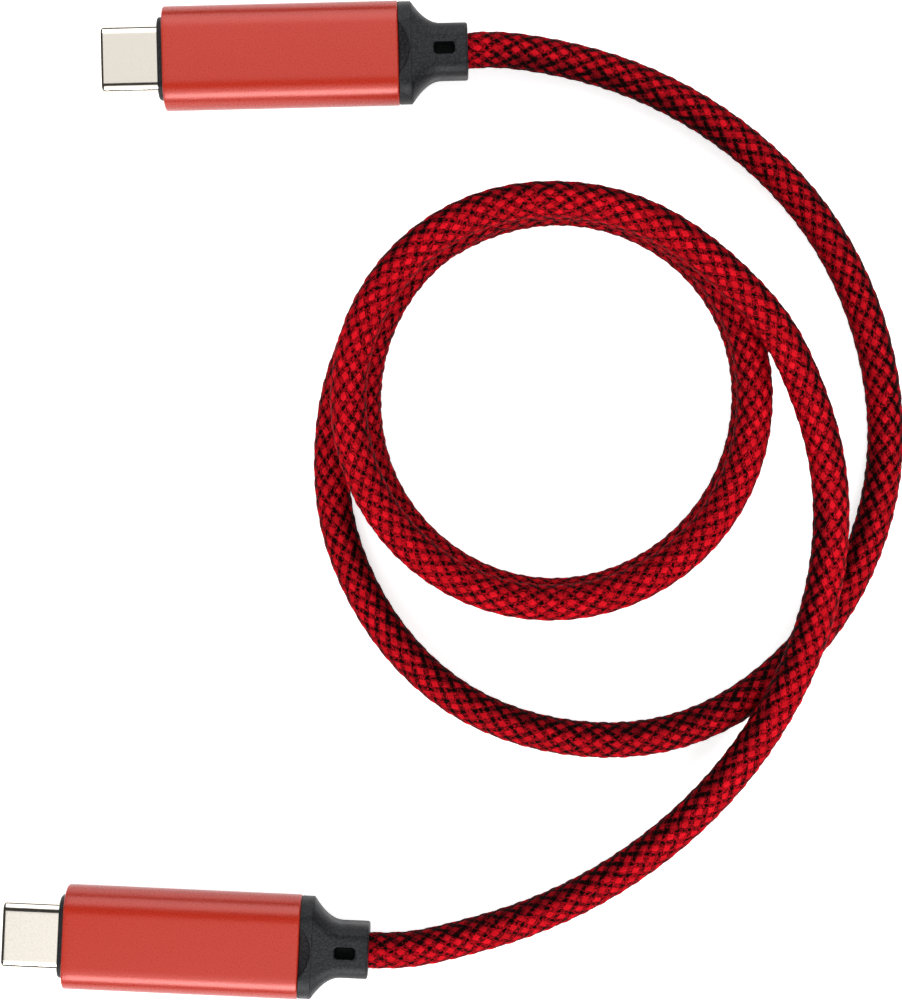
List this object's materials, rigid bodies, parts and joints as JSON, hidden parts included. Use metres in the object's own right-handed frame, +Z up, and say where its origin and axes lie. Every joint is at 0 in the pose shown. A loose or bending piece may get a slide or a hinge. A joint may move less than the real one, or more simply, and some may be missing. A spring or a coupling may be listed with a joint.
{
  "type": "usb-c charging cable",
  "caption": "Charging cable with a braided cord laid in stacked turns and a metal-sleeved reversible connector plug at each end.",
  "frame": {"origin": "on the surface the cable lies on, under the middle of the two plugs", "axes": "+Z up from the surface, +Y from plug B towards plug A, +X from the connectors towards the cord's turns"},
  "size_m": [0.1078, 0.1192, 0.013],
  "materials": {
    "braided_cord": "woven sleeve of red and black yarn",
    "anodised_sleeve": "red anodised, satin",
    "black_plastic": "moulded black plastic with a fine matt grain",
    "connector_steel": "bright nickel-plated steel",
    "inner_steel": "plain stamped steel",
    "gold_contacts": "gold-plated",
    "inner_mould": "natural moulded filler",
    "circuit_board": "green solder mask",
    "board_components": "ceramic chips",
    "wire_insulation": "coloured wire insulation",
    "solder": "tin solder",
    "cord_jacket": "soft jacket under the braid"
  },
  "bodies": {
    "root": {"cord_outer_run": "braided_cord", "cord_lower_turn": "braided_cord", "cord_upper_turn": "braided_cord", "cord_end_run": "braided_cord", "plug_a_sleeve": "anodised_sleeve", "plug_a_front_bezel": "black_plastic", "plug_a_rear_cap": "black_plastic", "plug_a_inner_mould": "inner_mould", "plug_a_connector_shell": "connector_steel", "plug_a_contact_housing": "black_plastic", "plug_a_upper_contacts": "gold_contacts", "plug_a_lower_contacts": "gold_contacts", "plug_a_latch_plate": "inner_steel", "plug_a_upper_ground_spring": "inner_steel", "plug_a_lower_ground_spring": "inner_steel", "plug_a_upper_shield_half": "inner_steel", "plug_a_lower_shield_half": "inner_steel", "plug_a_circuit_board": "circuit_board", "plug_a_marker_chip": "black_plastic", "plug_a_board_components": "board_components", "plug_a_power_wire": "wire_insulation", "plug_a_ground_wire": "wire_insulation", "plug_a_data_wires": "wire_insulation", "plug_a_config_wire": "wire_insulation", "plug_a_solder_joints": "solder", "plug_a_crimp_ring": "inner_steel", "plug_a_jacket_end": "cord_jacket", "plug_b_sleeve": "anodised_sleeve", "plug_b_front_bezel": "black_plastic", "plug_b_rear_cap": "black_plastic", "plug_b_inner_mould": "inner_mould", "plug_b_connector_shell": "connector_steel", "plug_b_contact_housing": "black_plastic", "plug_b_upper_contacts": "gold_contacts", "plug_b_lower_contacts": "gold_contacts", "plug_b_latch_plate": "inner_steel", "plug_b_upper_ground_spring": "inner_steel", "plug_b_lower_ground_spring": "inner_steel", "plug_b_upper_shield_half": "inner_steel", "plug_b_lower_shield_half": "inner_steel", "plug_b_circuit_board": "circuit_board", "plug_b_board_components": "board_components", "plug_b_power_wire": "wire_insulation", "plug_b_ground_wire": "wire_insulation", "plug_b_data_wires": "wire_insulation", "plug_b_config_wire": "wire_insulation", "plug_b_solder_joints": "solder", "plug_b_crimp_ring": "inner_steel", "plug_b_jacket_end": "cord_jacket"}
  },
  "joints": []
}
